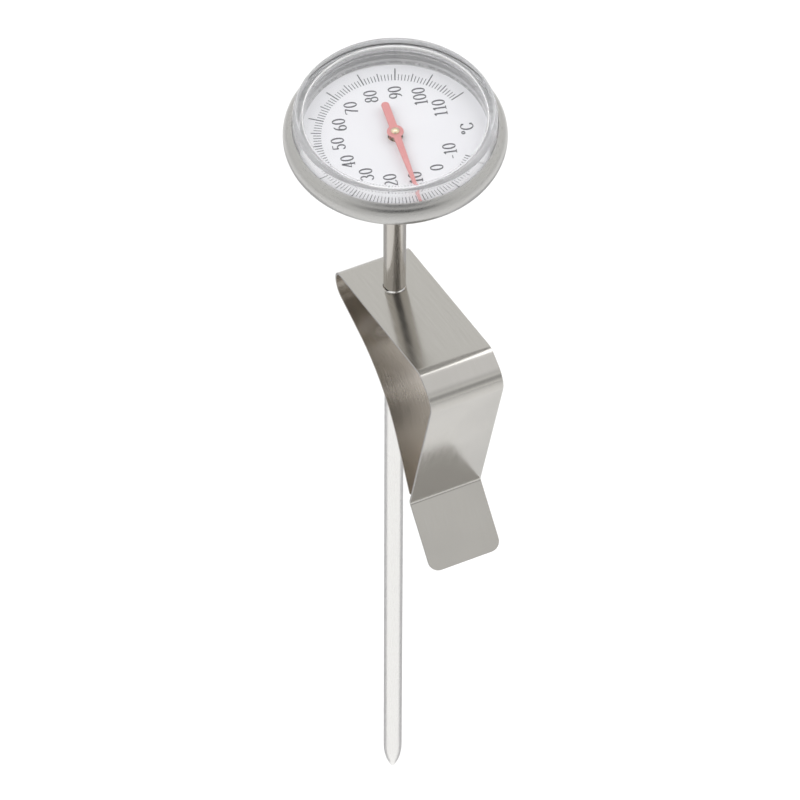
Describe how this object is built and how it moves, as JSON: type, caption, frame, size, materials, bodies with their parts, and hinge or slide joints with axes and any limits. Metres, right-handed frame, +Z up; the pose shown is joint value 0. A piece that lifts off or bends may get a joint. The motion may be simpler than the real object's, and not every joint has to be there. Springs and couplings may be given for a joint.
{
  "type": "dial frothing thermometer",
  "caption": "Round dial thermometer on a long thin probe, with a bent spring clip that slides on the probe and grips a jug's rim.",
  "frame": {"origin": "on the probe's axis, level with the clip's grip line", "axes": "+Z up the probe towards the dial, -Y the way the clip's arm stands out, X across the clip's strip"},
  "size_m": [0.0442, 0.0582, 0.2205],
  "materials": {
    "spun_steel": "pressed stainless, fine turned satin",
    "drawn_steel": "drawn stainless tube, bright satin",
    "neck_steel": "drawn stainless sleeve, bright satin",
    "clip_steel": "rolled spring stainless, bright with fine rolling lines",
    "steel_wire": "ground stainless rod",
    "clear_cap": "clear moulded acrylic, polished",
    "gasket": "soft white silicone",
    "washer_fibre": "black rubber washer",
    "dial_enamel": "white satin enamel on aluminium, printed in dark grey",
    "pointer_red": "red satin paint on aluminium",
    "brass": "turned brass",
    "bimetal": "rolled bimetal ribbon"
  },
  "bodies": {
    "clip": {"clip_front_leaf": "clip_steel"},
    "jaw": {"clip_back_leaf": "clip_steel"},
    "thermometer": {"case_cup": "spun_steel", "bezel_ring": "spun_steel", "lens": "clear_cap", "lens_gasket": "gasket", "dial_plate": "dial_enamel", "upper_guide": "brass", "lower_guide": "brass", "bimetal_coil": "bimetal", "coil_anchor": "brass", "stem_tube": "drawn_steel", "tip_plug": "drawn_steel", "neck_sleeve": "neck_steel", "seal_washer": "washer_fibre", "stem_bush": "brass"},
    "movement": {"spindle": "steel_wire", "pointer": "pointer_red", "pointer_hub": "brass", "coil_collet": "brass"}
  },
  "joints": [
    {"name": "clip_slide", "type": "slide", "parent": "clip", "child": "thermometer", "axis": [0, 0, 1], "range_m": [0, 0.14]},
    {"name": "jaw_flex", "type": "hinge", "parent": "clip", "child": "jaw", "pos_m": [0, 0.0115, 0.03156], "axis": [1, 0, 0], "range_deg": [0, 6], "stiffness_Nm_per_rad": 1, "springref_deg": -0.57},
    {"name": "pointer_turn", "type": "hinge", "parent": "thermometer", "child": "movement", "pos_m": [0, 0, 0.0847], "axis": [0, 0, 1], "range_deg": [-246.25, 53.75], "stiffness_Nm_per_rad": 0.0002, "deforming": ["bimetal_coil"]}
  ]
}
